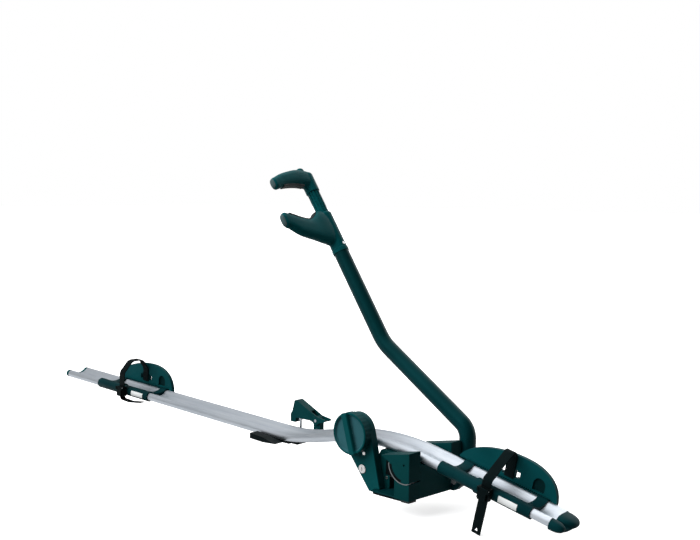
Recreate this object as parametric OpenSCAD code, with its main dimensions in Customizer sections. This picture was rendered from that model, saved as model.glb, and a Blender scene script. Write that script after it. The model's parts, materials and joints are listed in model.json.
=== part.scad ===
// Roof bar bike carrier: bent twin-rail tray, front foot with knob, folding frame holder arm,
// two sliding wheel holders and a rear bar support.
// X runs along the tray to its front, Y across to the arm side, Z up; the roof bar seat is at the origin.

/* [Tray] */
// Outside diameter of each tray rail
rail_d = 17; // [16:0.5:18]
// Wall of each tray rail
rail_wall = 2; // [1.5:0.1:2.5]
// Distance between the rail axes
rail_gap = 50; // [48:0.5:54]
// Thickness of the web between the rails
web_t = 3; // [2.5:0.1:3.5]
// Depth of the trough below the rail axes at its middle
web_drop = 1.5; // [1:0.1:2.5]
// Straight length behind the bends
rear_run = 736; // [690:1:800]
// Straight length in front of the bends
front_run = 269; // [265:1:300]
// Straight length of the ramp between the bends
ramp_run = 75; // [65:1:85]
// Bend radius over the foot
hump_r = 500; // [450:5:560]
// Bend radius behind the ramp
sag_r = 400; // [350:5:450]
// Fall of the rear part towards the front, in degrees
rear_tilt = 2.4; // [1.5:0.1:3]
// Rise of the ramp, in degrees
ramp_tilt = 11.6; // [10:0.1:13]
// Fall of the front part, in degrees
front_tilt = 12.7; // [11:0.1:13.5]
// Distance of the highest point behind the roof bar
hump_back = 63; // [58:1:66]
// Height of the rail axes above the bar seat at the highest point
hump_z = 56; // [54:0.5:60]

/* [Foot] */
// Reach of the foot in front of the bar at its far corner
foot_front = 66; // [64:1:68]
// Reach of the foot in front of the bar at its near corner
foot_near = 50; // [48:1:52]
// Reach of the foot behind the bar
foot_back = 43; // [40:1:48]
// Width of the foot across the tray
foot_w = 140; // [134:1:146]
// Thickness of each side cheek
cheek_t = 29; // [26:0.5:30]
// Depth of the foot below the bar seat
foot_drop = 27; // [25.5:0.5:32]
// Width of the roof bar channel
bar_w = 34; // [30:1:36]
// Height of the roof bar channel below the seat
bar_h = 23.8; // [22:0.2:24]
// Thickness of the rubber bar pads
pad_t = 3; // [2:0.5:4]
// Distance of the cheek centre in front of the bar
cheek_x = 38; // [37:0.5:40]
// Height of the cheek centre above the seat
cheek_z = 36.5; // [35:0.5:39]
// Radius of the round lower edge of each cheek
cheek_r = 33; // [31:0.5:34]
// Thickness of the steel strip round each cheek
strip_t = 1.8; // [1:0.1:2.5]
// Height of the cheek at its front top corner
cheek_top = 62; // [60:1:66]
// Diameter of the clamp and tray bolts
bolt_d = 6; // [5:0.5:7]
// Height of the rubber corner feet
corner_foot_h = 4; // [3:0.5:6]

/* [Knob] */
// Knob diameter
knob_d = 79; // [70:1:84]
// Knob depth along its axis
knob_h = 22; // [18:1:26]
// Distance of the knob axis behind the bar
knob_back = 87; // [80:1:92]
// Height of the knob axis above the seat
knob_z = 74; // [70:1:80]
// Thickness of the knob housing
housing_t = 17; // [16:0.5:20]
// Reach of the foot of the knob housing behind the bar
stalk_back = 52; // [50:1:54]
// Radius of the round top of the knob housing
housing_r = 37; // [34:0.5:40]
// Width of the grip rib across the knob
grip_w = 9; // [7:0.5:12]
// Depth of the hollows beside the grip rib
grip_depth = 9; // [5:0.5:12]
// Turn of the grip rib from upright, in degrees
grip_turn = 8; // [0:1:20]
// Diameter of the knob shaft
shaft_d = 10; // [8:0.5:11]
// Diameter of the cable drum
drum_d = 18.4; // [17:0.1:22]
// Lock cylinder diameter
lock_d = 13; // [11:0.5:14]
// Distance of the lock behind the bar
lock_back = 68; // [66:1:70]
// Height of the lock above the seat
lock_z = 8; // [6:1:10]

/* [Arm] */
// Outside diameter of the arm tube
arm_d = 32; // [31:0.5:33]
// Wall of the arm tube
arm_wall = 1.5; // [1.2:0.1:1.6]
// Distance of the arm axis beside the foot
arm_y = 17.6; // [17.4:0.1:20]
// Distance of the arm pivot in front of the foot
pivot_ahead = 1; // [0:0.5:4]
// Height of the arm pivot against the bar seat
pivot_z = -8; // [-10:0.5:-6]
// Pivot pin diameter
pivot_d = 16; // [12:0.5:17]
// Outside diameter of the pivot eye
eye_d = 34; // [30:0.5:34]
// Height of the upright stub over the pivot
arm_stub = 70; // [66:1:74]
// Radius of the lower arm bend
arm_bend = 35; // [30:1:40]
// Lean of the lower arm from upright, in degrees
arm_lean = 55.5; // [53:0.5:58]
// Straight length of the lower arm
arm_low = 213; // [200:1:225]
// Radius of the upper arm bend
arm_bend_top = 90; // [80:1:110]
// Lean of the upper arm from upright, in degrees
arm_lean_top = 33.5; // [31:0.5:35]
// Straight length of the upper arm tube
arm_up = 193; // [183:1:203]

/* [Jaws] */
// Length of the lower jaw casting along the arm
jaw_h = 92; // [86:1:98]
// Free gap between the lower jaw casting and the hook
jaw_gap = 74; // [66:1:82]
// Reach of the lower claw from the arm axis to the centre of its tip
claw_reach = 121; // [116:1:126]
// Radius of the lower claw tip
claw_tip_r = 14; // [13:0.5:15]
// Reach of the hook from the arm axis to the centre of its tip
hook_reach = 102; // [98:1:106]
// Radius of the hook tip
hook_tip_r = 11; // [10:0.5:12]
// Depth of the hook at its root
hook_h = 28; // [26:0.5:32]
// Half depth of the claws at their tips, along the frame tube
claw_half_tip = 10; // [9:0.5:12]
// Diameter of the sliding jaw rod
rod_d = 26; // [24:0.5:26]
// Length of the jaw rod below the lower jaw at rest
rod_below = 50; // [48:1:80]
// Width of the rubber jaw pads
jaw_pad_w = 16; // [12:1:18]

/* [Wheel holders] */
// Distance of the front holder from the front bend
front_hub = 121; // [119:0.5:123]
// Distance of the rear holder from the rear bend
rear_hub = 525; // [480:1:570]
// Outside diameter of the rail sleeves
sleeve_d = 23; // [22:0.5:24]
// Distance of the strap in front of the middle of the holder
strap_ahead = 17; // [14:1:20]
// Length of the near sleeve behind the middle of the holder
sleeve_back = 80; // [74:1:86]
// Length of the sleeves in front of the middle of the holder
sleeve_front = 112; // [106:1:118]
// Diameter of the collar beside the strap
collar_d = 28; // [26:0.5:30]
// Length of the collar
collar_l = 15; // [12:0.5:18]
// Width of the cross bridges
bridge_w = 20; // [16:1:24]
// Height of the shield above the rail axes
shield_h = 60; // [52:1:68]
// Reach of the shield behind its highest point
shield_back = 128; // [124:1:132]
// Reach of the shield in front of its highest point
shield_fore = 80; // [76:1:84]
// Distance of the highest point of the shield in front of the middle of the holder
shield_peak = 45; // [43:1:47]
// Thickness of the shield
shield_t = 8; // [6:0.5:10]
// Strap width
strap_w = 18; // [14:0.5:20]
// Strap thickness
strap_t = 2.2; // [1.6:0.1:2.6]
// Height of the strap arch above the rail axes
strap_top = 71; // [66:1:76]
// Length of the hanging strap end
tail_l = 64; // [40:1:70]

/* [Rear bar support] */
// Distance of the support behind the front bar seat
support_back = 325; // [322:1:360]
// Height of the rail axes above the bar at the support
support_h = 18.5; // [17:0.1:20]
// Length of the support along the tray
support_l = 92; // [88:1:96]
// Reach of the support on the near side
support_near = 60; // [56:1:62]
// Inner side of the locking lever from the tray middle
lever_y = 44; // [42:0.5:46]
// Width of the locking lever
lever_w = 21; // [19:0.5:22]
// Height of the lever pin above the bar at the support
lever_pin_z = 42; // [41:0.5:44]
// Diameter of the lever pin
lever_pin_d = 6; // [5:0.5:7]

/* [Fits] */
// Gap between pieces that slide over each other
slide_gap = 0.3; // [0.25:0.05:0.5]
// Radial gap of a turning or sliding round fit
run_gap = 0.05; // [0.03:0.01:0.08]
// Gap between fixed pieces that sit in each other
seat_gap = 0.1; // [0.05:0.05:0.2]

/* [Hidden] */
$fn = 64;

black = [0.03, 0.09, 0.10];
dark = [0.05, 0.14, 0.15];
rubber = [0.04, 0.05, 0.05];
steel = [0.75, 0.76, 0.78];
silver = [0.78, 0.80, 0.83];

pivot_x = foot_front + pivot_ahead;
rail_r = rail_d / 2;
rail_v = rail_gap / 2;
sleeve_r = sleeve_d / 2;
arm_r = arm_d / 2;
rod_r = rod_d / 2;
foot_y = foot_w / 2;
core_y = foot_y - cheek_t;
arm_axis_y = foot_y + arm_y;

// Trough between the rails: a round hollow that runs up to the top of each rail
trough_bite = 0.15;
trough_c = (rail_v * rail_v - pow(web_drop + rail_r, 2)) / (2 * (web_drop + rail_r));
trough_r = trough_c + web_drop + trough_bite;
trough_top = trough_c - (trough_c + web_drop) * trough_c / norm([rail_v, trough_c]);

// Lap of a straight part over a bend, and how much thinner the bend is there
lap = 1;
thin = 0.06;

// Bolt slot under the web
slot_half = 8;
slot_wall = 2;
slot_mouth = 4.5;
slot_roof = web_drop + web_t + trough_bite;
slot_deep = 5;
slot_lip = 2;
slot_floor = slot_roof + slot_deep;
slot_bottom = slot_floor + slot_lip;

// Tray path in the X-Z plane
hump_c = [-hump_back, hump_z - hump_r];
front_start = hump_c + hump_r * [sin(front_tilt), cos(front_tilt)];
ramp_start = hump_c + hump_r * [-sin(ramp_tilt), cos(ramp_tilt)];
ramp_end = ramp_start - ramp_run * [cos(ramp_tilt), sin(ramp_tilt)];
sag_c = ramp_end + sag_r * [-sin(ramp_tilt), cos(ramp_tilt)];
rear_start = sag_c - sag_r * [sin(rear_tilt), cos(rear_tilt)];

// Arm path in the X-Z plane
stub_end = [pivot_x, pivot_z + arm_stub];
low_c = stub_end - [arm_bend, 0];
low_start = low_c + arm_bend * [cos(arm_lean), sin(arm_lean)];
low_end = low_start + arm_low * [-sin(arm_lean), cos(arm_lean)];
top_c = low_end + arm_bend_top * [cos(arm_lean), sin(arm_lean)];
up_start = top_c - arm_bend_top * [cos(arm_lean_top), sin(arm_lean_top)];
hook_at = arm_up + jaw_h + jaw_gap;

knob_c = [-knob_back, knob_z];
lock_c = [-lock_back, lock_z];
cheek_c = [cheek_x, cheek_z];
housing_y = core_y + housing_t;
knob_face = -housing_y;
knob_gap = 0.6;

// Touch point of a line from p on a circle; side picks one of the two
function touch(c, r, p, side) =
    let (d = p - c, a = atan2(d.y, d.x) + side * acos(r / norm(d))) c + r * [cos(a), sin(a)];

// Path with each inner corner replaced by an arc of radius r in steps pieces
function rounded(p, r, steps = 6) = [
    for (i = [0 : len(p) - 1])
        if (i == 0 || i == len(p) - 1) p[i]
        else
            let (a = p[i] - p[i - 1], b = p[i + 1] - p[i], ua = a / norm(a), ub = b / norm(b),
                turn = atan2(ua.x * ub.y - ua.y * ub.x, ua * ub), s = sign(turn),
                cut = r * tan(abs(turn) / 2), start = p[i] - ua * cut,
                c = start + s * r * [-ua.y, ua.x], a0 = atan2(start.y - c.y, start.x - c.x))
            for (k = [0 : steps]) c + r * [cos(a0 + turn * k / steps), sin(a0 + turn * k / steps)]];

// Unit normal of a path at point i
function path_normal(p, i) =
    let (a = p[max(i - 1, 0)], b = p[min(i + 1, len(p) - 1)], d = (b - a) / norm(b - a)) [-d.y, d.x];

// Flat band of thickness t along a path
module ribbon(p, t) {
    n = len(p);
    left = [for (i = [0 : n - 1]) p[i] + path_normal(p, i) * t / 2];
    right = [for (i = [n - 1 : -1 : 0]) p[i] - path_normal(p, i) * t / 2];
    polygon(concat(left, right));
}

module extrude_y(y0, y1) {
    translate([0, y1, 0]) rotate([90, 0, 0]) linear_extrude(y1 - y0) children();
}

module extrude_x(x0, x1) {
    translate([x0, 0, 0]) rotate([90, 0, 90]) linear_extrude(x1 - x0) children();
}

module rod_y(r, y0, y1, p) {
    translate([p.x, y0, p.y]) rotate([-90, 0, 0]) cylinder(r = r, h = y1 - y0);
}

module rod_x(r, x0, x1, y, z) {
    translate([x0, y, z]) rotate([0, 90, 0]) cylinder(r = r, h = x1 - x0);
}

module block(a, b) {
    translate(a) cube(b - a);
}

// Section swept about a Y axis through c, from angle a0 to a1; inside turns the section over
module swing(c, r, a0, a1, inside = false) {
    translate([c.x, 0, c.y]) rotate([0, -a0, 0]) rotate([90, 0, 0])
        rotate_extrude(angle = a1 - a0, $fn = 240) translate([r, 0]) rotate(inside ? 90 : -90) children();
}

module ring_part(c, r0, r1, a0, a1, y0, y1) {
    translate([c.x, y1, c.y]) rotate([0, -a0, 0]) rotate([90, 0, 0])
        rotate_extrude(angle = a1 - a0) translate([r0, 0]) square([r1 - r0, y1 - y0]);
}

// Dome with a pointed-arch profile
module ogive(r, h) {
    arc = (r * r + h * h) / (2 * r);
    rotate_extrude() intersection() {
        square([r, h]);
        translate([r - arc, 0]) circle(arc);
    }
}

module hex_head(d, h) {
    cylinder(d = d, h = h, $fn = 6);
}

module at_front(s) {
    translate([front_start.x + s * cos(front_tilt), 0, front_start.y - s * sin(front_tilt)])
        rotate([0, front_tilt, 0]) children();
}

module at_rear(s) {
    translate([rear_start.x - s * cos(rear_tilt), 0, rear_start.y + s * sin(rear_tilt)])
        rotate([0, rear_tilt, 0]) children();
}

module at_hump(a) {
    translate([hump_c.x, 0, hump_c.y]) rotate([0, a, 0]) translate([0, 0, hump_r]) children();
}

module at_upper_arm(s) {
    translate([up_start.x - s * sin(arm_lean_top), arm_axis_y, up_start.y + s * cos(arm_lean_top)])
        rotate([0, -arm_lean_top, 0]) children();
}

module both_rails() {
    for (side = [-1, 1]) translate([0, side * rail_v, 0]) children();
}

// Tray: two hollow rails, a hollowed web and a bolt slot under it
// e thins the section in the bends, so that the straight parts lap over it
module tray_section(e = 0) {
    wall = slot_wall - 2 * e;
    lip = slot_half + slot_wall - slot_mouth - 2 * e;
    difference() {
        union() {
            for (side = [-1, 1]) translate([side * rail_v, 0]) circle(rail_r - e);
            intersection() {
                difference() {
                    translate([0, trough_c]) circle(trough_r + web_t - e);
                    translate([0, trough_c]) circle(trough_r + e);
                }
                translate([-rail_v, -rail_r]) square([rail_gap, rail_r + trough_top]);
            }
            for (side = [-1, 1]) translate([side * (slot_half + slot_wall / 2) - wall / 2, e - slot_bottom])
                square([wall, slot_bottom - web_drop - web_t / 2 - e]);
            for (side = [0, 1]) mirror([side, 0])
                translate([slot_mouth + e, e - slot_bottom]) square([lip, slot_lip - 2 * e]);
        }
        for (side = [-1, 1]) translate([side * rail_v, 0]) circle(rail_r - rail_wall + e);
    }
}

// Everything above the underside of the tray, with room for the bolt slot
module tray_room() {
    high = 60;
    wide = 2 * foot_w;
    translate([-wide / 2, -rail_r - slide_gap]) square([wide, high]);
    translate([-slot_half - slot_wall - slide_gap, -slot_bottom - slide_gap])
        square([2 * (slot_half + slot_wall + slide_gap), high]);
}

module tray() {
    color(silver) {
        at_front(0) extrude_x(-lap, front_run) tray_section();
        swing(hump_c, hump_r, 90 - front_tilt, 90 + ramp_tilt) tray_section(thin);
        translate([ramp_end.x, 0, ramp_end.y]) rotate([0, -ramp_tilt, 0])
            extrude_x(-lap, ramp_run + lap) tray_section();
        swing(sag_c, sag_r, -90 - rear_tilt, -90 + ramp_tilt, inside = true) tray_section(thin);
        at_rear(rear_run) extrude_x(0, rear_run + lap) tray_section();
    }
}

// Rear end cap: a thin rim round the open end, with a plug in each rail
cap_rim = 9;
plug_l = 16;
module rear_cap() {
    color(black) at_rear(rear_run) {
        both_rails() {
            rod_x(rail_r, -cap_rim, 0, 0, 0);
            rod_x(rail_r - rail_wall - seat_gap, -cap_rim, plug_l, 0, 0);
        }
        trough_floor(-cap_rim, 0, web_t + 1);
    }
}

// Band under the trough, of thickness t, from x0 to x1
module trough_floor(x0, x1, t) {
    intersection() {
        difference() {
            rod_x(trough_r + t, x0, x1, 0, trough_c);
            rod_x(trough_r, x0 - 1, x1 + 1, 0, trough_c);
        }
        block([x0 - 1, -rail_v, -2 * rail_d], [x1 + 1, rail_v, trough_top]);
    }
}

// Front end cap: a round nose on each rail, joined by a bowed floor that carries the trough on
cap_r = rail_r + 1.6;
cap_l = 19;
cap_deep = cap_r - 0.8;
bow_r = 62;
module front_cap() {
    bow_x = cap_l + cap_r - 4;
    color(black) at_front(front_run) {
        both_rails() {
            rod_x(cap_r, 0, cap_l, 0, 0);
            translate([cap_l, 0, 0]) sphere(cap_r);
            rod_x(rail_r - rail_wall - seat_gap, -plug_l, cap_l / 2, 0, 0);
        }
        intersection() {
            difference() {
                block([0, -rail_v, -cap_deep], [2 * cap_l, rail_v, trough_top - 1]);
                rod_x(trough_r - 0.8, -1, 3 * cap_l, 0, trough_c);
            }
            translate([bow_x - bow_r, 0, -2 * cap_r]) cylinder(r = bow_r, h = 4 * cap_r, $fn = 128);
        }
    }
}

// Foot: core block under the tray with the bar channel, and side wings that carry the cheeks
channel_top = pad_t;
strap_plate_t = 2.5;
strap_plate_y = 32;
strap_plate_near = foot_y - 1;
strap_plate_x = bar_w / 2 + 21;
strap_bolt_x = bar_w / 2 + 12;
strap_bolt_y = 22;
nut_z = 8;
nut_h = 5;
nut_d = bolt_d * 1.9;
tray_bolt_angles = [4.3, 11.2];
tray_bolt_l = 24;
seat_r = cheek_r + strip_t + 2 * seat_gap;

// Everything in front of the slanting front of the foot
module ahead_of_foot() {
    big = 4 * foot_w;
    translate([foot_front, foot_y, -big / 2]) rotate([0, 0, -atan((foot_front - foot_near) / foot_w)])
        translate([0, -big / 2, 0]) cube([big, big, big]);
}

// Room for the strap plate under the foot
module strap_recess() {
    block([-strap_plate_x - seat_gap, -strap_plate_near - seat_gap, -2 * foot_drop],
        [strap_plate_x + seat_gap, strap_plate_y + seat_gap, -bar_h]);
}

module strap_bolt_places() {
    for (sx = [-1, 1], sy = [-1, 1]) translate([sx * strap_bolt_x, sy * strap_bolt_y, 0]) children();
}

module foot_core() {
    difference() {
        extrude_y(-core_y, core_y)
            polygon([[-foot_back, -foot_drop], [foot_front, -foot_drop], [foot_front, hump_z],
                [-foot_back + 10, hump_z], [-foot_back, hump_z - 20]]);
        swing(hump_c, hump_r, 80 - front_tilt, 100 + ramp_tilt) tray_room();
        block([-bar_w / 2, -foot_w, -2 * foot_drop], [bar_w / 2, foot_w, channel_top]);
        strap_recess();
        rod_y(screw_r / 2 + seat_gap, -core_y - 1, housing_screw_l - core_y + 1, core_screw_c);
        strap_bolt_places() {
            translate([0, 0, -foot_drop]) cylinder(r = bolt_d / 2 + slide_gap, h = foot_drop + hump_z);
            translate([0, 0, nut_z]) hex_head(nut_d + 2 * seat_gap, hump_z);
        }
        for (a = tray_bolt_angles) at_hump(a)
            translate([0, 0, -slot_floor - tray_bolt_l - 1])
                cylinder(r = bolt_d / 2 + run_gap, h = tray_bolt_l + slot_floor);
    }
}

module foot_wing(y0, y1) {
    wing_top = cheek_z - cheek_r * 0.6;
    difference() {
        extrude_y(y0, y1) difference() {
            translate([bar_w / 2, -foot_drop]) square([foot_front - bar_w / 2, foot_drop + wing_top]);
            translate(cheek_c) circle(seat_r);
        }
        strap_recess();
    }
}

module foot_housing() {
    back_top = 8;
    color(black) difference() {
        union() {
            foot_core();
            foot_wing(-foot_y, -core_y);
            foot_wing(core_y, foot_y);
            block([-foot_back, core_y, -foot_drop], [-bar_w / 2, foot_y, back_top]);
        }
        ahead_of_foot();
        rod_y(pivot_d / 2 + seat_gap, bracket_y[0], foot_y + 1, pivot_c);
    }
}

cheek_hole_r = 2;
// Cheek: a slanting top over a round lower edge
module cheek(y0, y1) {
    tip_x = -14;
    tip_z = cheek_z + 10;
    difference() {
        union() {
            extrude_y(y0, y1) polygon([[tip_x, tip_z], [foot_front - 2, cheek_top],
                [foot_front, cheek_top - 4], [foot_front, cheek_z], [cheek_x - cheek_r, cheek_z]]);
            intersection() {
                rod_y(cheek_r, y0, y1, cheek_c);
                block([cheek_x - 2 * cheek_r, y0 - 1, cheek_z - 2 * cheek_r],
                    [foot_front, y1 + 1, cheek_z + 4]);
            }
        }
        rod_y(cheek_hole_r, y0 - 1, y1 + 1, cheek_c);
        ahead_of_foot();
    }
}

module cheek_near() {
    color(dark) cheek(-foot_y, -core_y);
}

module cheek_far() {
    color(dark) cheek(core_y, foot_y);
}

module cheek_strips() {
    strip_from = 181;
    strip_to = 286;
    proud = 0.6;
    r0 = cheek_r + seat_gap;
    color(steel) {
        ring_part(cheek_c, r0, r0 + strip_t, strip_from, strip_to, -foot_y - proud, -core_y - seat_gap);
        ring_part(cheek_c, r0, r0 + strip_t, strip_from, strip_to, core_y + seat_gap, foot_y + proud);
    }
}

module bar_pad() {
    color(rubber) block([-bar_w / 2, -core_y, 0], [bar_w / 2, core_y, pad_t]);
}

module bar_strap() {
    top = -bar_h - seat_gap;
    color(black) difference() {
        block([-strap_plate_x, -strap_plate_near, top - strap_plate_t], [strap_plate_x, strap_plate_y, top]);
        strap_bolt_places() translate([0, 0, -2 * foot_drop])
            cylinder(r = bolt_d / 2 + slide_gap, h = 2 * foot_drop);
    }
}

bolt_head_h = 3;
module strap_bolts() {
    head_z = -bar_h - seat_gap - strap_plate_t - bolt_head_h;
    color(steel) strap_bolt_places() {
        translate([0, 0, head_z]) hex_head(nut_d, bolt_head_h);
        translate([0, 0, head_z]) cylinder(d = bolt_d, h = nut_z + nut_h - head_z + 2);
    }
}

module strap_nuts() {
    color(steel) strap_bolt_places() translate([0, 0, nut_z]) difference() {
        hex_head(nut_d, nut_h);
        translate([0, 0, -1]) cylinder(r = bolt_d / 2 + run_gap, h = nut_h + 2);
    }
}

// T-bolt: square head in the tray slot, shank downwards
module t_bolt(l) {
    head_h = slot_deep - 1;
    head_half = slot_half - 0.8;
    translate([-head_half, -head_half, -slot_floor + slide_gap]) cube([2 * head_half, 2 * head_half, head_h]);
    translate([0, 0, -slot_floor - l]) cylinder(d = bolt_d, h = l + slide_gap + head_h / 2);
}

module tray_bolts() {
    color(steel) for (a = tray_bolt_angles) at_hump(a) t_bolt(tray_bolt_l);
}

module corner_feet() {
    size_x = 18;
    size_y = 20;
    z0 = -foot_drop - corner_foot_h;
    color(rubber) difference() {
        union() {
            block([foot_near - size_x, -foot_y, z0], [foot_front, size_y - foot_y, -foot_drop]);
            block([foot_front - size_x, foot_y - size_y, z0], [foot_front, foot_y, -foot_drop]);
        }
        ahead_of_foot();
    }
}

// Knob housing: leaning stalk with a round top
housing_wall = 6;
drum_room_r = housing_r - housing_wall - 5;
cover_t = 3;
housing_screw_c = [-64, 38];
core_screw_c = [-24, -3];
screw_r = 3.2;
module housing_shape() {
    rear_foot = [-stalk_back, -foot_drop - corner_foot_h];
    front_foot = [26 - stalk_back, -foot_drop];
    translate(knob_c) circle(housing_r);
    polygon([rear_foot, front_foot, touch(knob_c, housing_r, front_foot, 1), knob_c,
        touch(knob_c, housing_r, rear_foot, -1)]);
}

module knob_housing() {
    color(dark) difference() {
        extrude_y(-housing_y, -core_y) housing_shape();
        rod_y(drum_room_r, -housing_y + housing_wall, -core_y + 1, knob_c);
        rod_y(shaft_d / 2 + run_gap, -housing_y - 1, 0, knob_c);
        rod_y(lock_d / 2 + lock_collar_t + seat_gap, -housing_y - 1, -housing_y + lock_depth, lock_c);
        rod_y(screw_r / 2 + seat_gap, -housing_y - 1, -housing_y + housing_screw_l + 1, housing_screw_c);
        strap_recess();
    }
}

module housing_cover() {
    color(black) difference() {
        rod_y(drum_room_r - seat_gap, -core_y - cover_t, -core_y, knob_c);
        rod_y(shaft_d / 2 + run_gap, -core_y - cover_t - 1, 0, knob_c);
    }
}

housing_screw_l = 12;
module pan_screw(face, c) {
    head_h = 1.4;
    rod_y(screw_r, face - head_h, face, c);
    rod_y(screw_r / 2, face - head_h, face + housing_screw_l, c);
}

module housing_screws() {
    color(steel) {
        pan_screw(-housing_y, housing_screw_c);
        pan_screw(-core_y, core_screw_c);
    }
}

lock_collar_t = 1.6;
lock_depth = 13;
lock_proud = 1.5;
module lock_collar() {
    face = -housing_y;
    color(steel) difference() {
        rod_y(lock_d / 2 + lock_collar_t, face - lock_proud, face + lock_depth - seat_gap, lock_c);
        rod_y(lock_d / 2 + run_gap, face - lock_proud - 1, face + lock_depth, lock_c);
    }
}

module lock_cylinder() {
    key_w = 1.6;
    key_h = 7;
    color(silver) difference() {
        rod_y(lock_d / 2, -housing_y - lock_proud - 0.5, -housing_y + lock_depth - 1, lock_c);
        translate([lock_c.x - key_w / 2, -housing_y - lock_proud - 1, lock_c.y - key_h / 2])
            cube([key_w, 6, key_h]);
    }
}

// Knob: a grip rib between two half-round hollows
knob_back_y = knob_face - knob_gap;
module knob() {
    rim = 4;
    bore_l = knob_h - grip_depth - 3;
    color(dark) difference() {
        rod_y(knob_d / 2, knob_back_y - knob_h, knob_back_y, knob_c);
        for (side = [-1, 1]) intersection() {
            rod_y(knob_d / 2 - rim, knob_back_y - knob_h - 1, knob_back_y - knob_h + grip_depth, knob_c);
            translate([knob_c.x, 0, knob_c.y]) rotate([0, -grip_turn, 0])
                translate([side * (grip_w / 2 + knob_d / 2), 0, 0])
                    cube([knob_d, 4 * foot_w, 2 * knob_d], center = true);
        }
        rod_y(shaft_d / 2 + seat_gap, knob_back_y - bore_l, knob_back_y + 1, knob_c);
    }
}

module knob_shaft() {
    bore_l = knob_h - grip_depth - 3;
    color(steel) rod_y(shaft_d / 2, knob_back_y - bore_l + seat_gap, -core_y - seat_gap, knob_c);
}

module cable_drum() {
    groove_r = 2;
    y0 = -housing_y + housing_wall + 0.8;
    y1 = -core_y - cover_t - 0.8;
    color(steel) difference() {
        rod_y(drum_d / 2, y0, y1, knob_c);
        rod_y(shaft_d / 2 + seat_gap, y0 - 1, y1 + 1, knob_c);
        translate([knob_c.x, (y0 + y1) / 2, knob_c.y]) rotate([90, 0, 0])
            rotate_extrude() translate([drum_d / 2, 0]) circle(groove_r);
    }
}

// Arm bracket on the front of the foot, and the pin that the arm turns on
pivot_c = [pivot_x, pivot_z];
bracket_r = eye_d / 2;
bracket_y = [core_y + 1, foot_y];
arm_side_gap = 0.6;
eye_y = [foot_y + arm_side_gap, foot_y + 2 * arm_y - arm_side_gap];
module arm_bracket() {
    plate_t = 4;
    color(black) difference() {
        intersection() {
            union() {
                rod_y(bracket_r, bracket_y[0], bracket_y[1], pivot_c);
                block([foot_near, bracket_y[0], -foot_drop], [foot_front + plate_t, bracket_y[1], 14]);
            }
            ahead_of_foot();
        }
        rod_y(pivot_d / 2 + seat_gap, bracket_y[0] - 1, bracket_y[1] + 1, pivot_c);
    }
}

module arm_pin() {
    head_t = 3.5;
    head_gap = 0.5;
    color(steel) {
        rod_y(pivot_d / 2, bracket_y[0] + 1, eye_y[1] + head_gap + head_t, pivot_c);
        rod_y(pivot_d / 2 + 4, eye_y[1] + head_gap, eye_y[1] + head_gap + head_t, pivot_c);
    }
}

bush_t = 2;
module arm_knuckle() {
    neck_l = arm_stub - 1;
    color(black) difference() {
        union() {
            rod_y(eye_d / 2, eye_y[0], eye_y[1], pivot_c);
            translate([pivot_x, arm_axis_y, pivot_z])
                cylinder(r = arm_r - arm_wall - seat_gap, h = neck_l);
        }
        rod_y(pivot_d / 2 + bush_t + seat_gap, eye_y[0] - 1, eye_y[1] + 1, pivot_c);
    }
}

module arm_bushes() {
    bush_l = 12;
    color(rubber) for (y = [eye_y[0], eye_y[1] - bush_l]) difference() {
        rod_y(pivot_d / 2 + bush_t, y, y + bush_l, pivot_c);
        rod_y(pivot_d / 2 + run_gap, y - 1, y + bush_l + 1, pivot_c);
    }
}

// Ring between two radii; the bends take it a little thinner on both sides
module ring(r0, r1, e = 0) {
    difference() {
        circle(r1 - e);
        circle(r0 + e);
    }
}

// Hollow round sweep along the arm, from height z0 to s along the upper arm
module along_arm(z0, s, r0, r1) {
    translate([0, arm_axis_y, 0]) {
        translate([pivot_x, 0, z0]) linear_extrude(stub_end.y - z0 + lap) ring(r0, r1);
        swing(low_c, arm_bend, 0, arm_lean) ring(r0, r1, thin);
        translate([low_start.x, 0, low_start.y]) rotate([0, -arm_lean, 0]) translate([0, 0, -lap])
            linear_extrude(arm_low + 2 * lap) ring(r0, r1);
        swing(top_c, arm_bend_top, 180 + arm_lean_top, 180 + arm_lean) ring(r0, r1, thin);
    }
    at_upper_arm(-lap) linear_extrude(s + lap) ring(r0, r1);
}

module arm_tube() {
    color(black) along_arm(pivot_z + eye_d / 2 + 0.5, arm_up, arm_r - arm_wall, arm_r);
}

conduit_d = 6;
conduit_bore = 3;
module cable_conduit() {
    color(rubber)
        along_arm(stub_end.y - 1 + seat_gap, arm_up - rod_below - 60, conduit_bore / 2, conduit_d / 2);
}

// Lower jaw: sleeve in line with the arm tube, and a claw with a notched upper edge
jaw_r = arm_r + 0.5;
jaw_collar_l = 8;
jaw_collar_t = 0.7;
notch_y = 66;
notch_z = 75;
root_y = 33;
pad_proud = 1.5;
pad_deep = 2.5;
claw_tip_c = [-claw_reach, jaw_h - claw_tip_r - 2];
claw_edge = [claw_tip_c + claw_tip_r * [sin(17), cos(17)], [-notch_y, notch_z], [-root_y, jaw_h]];

// Taper of a claw seen along the arm
module claw_plan(reach, tip_r, h) {
    tip_y = claw_half_tip - reach - tip_r;
    linear_extrude(h) polygon([[-jaw_r, jaw_r + 1], [jaw_r, jaw_r + 1], [jaw_r, -root_y],
        [claw_half_tip, tip_y], [-claw_half_tip, tip_y], [-jaw_r, -root_y]]);
    translate([0, tip_y, 0]) cylinder(r = claw_half_tip, h = h);
}

module claw_side() {
    wide = 2 * jaw_r;
    rod_x(claw_tip_r, -wide, wide, claw_tip_c.x, claw_tip_c.y);
    low = claw_tip_c + claw_tip_r * [cos(245), sin(245)];
    from = [-12, 20];
    span = low - from;
    under = [for (t = [0 : 0.1 : 1]) from + [t * span.x, pow(t, 1.15) * span.y]];
    extrude_x(-wide, wide) polygon(concat([[0, from.y]], under, [claw_tip_c], claw_edge, [[0, jaw_h]]));
}

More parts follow.
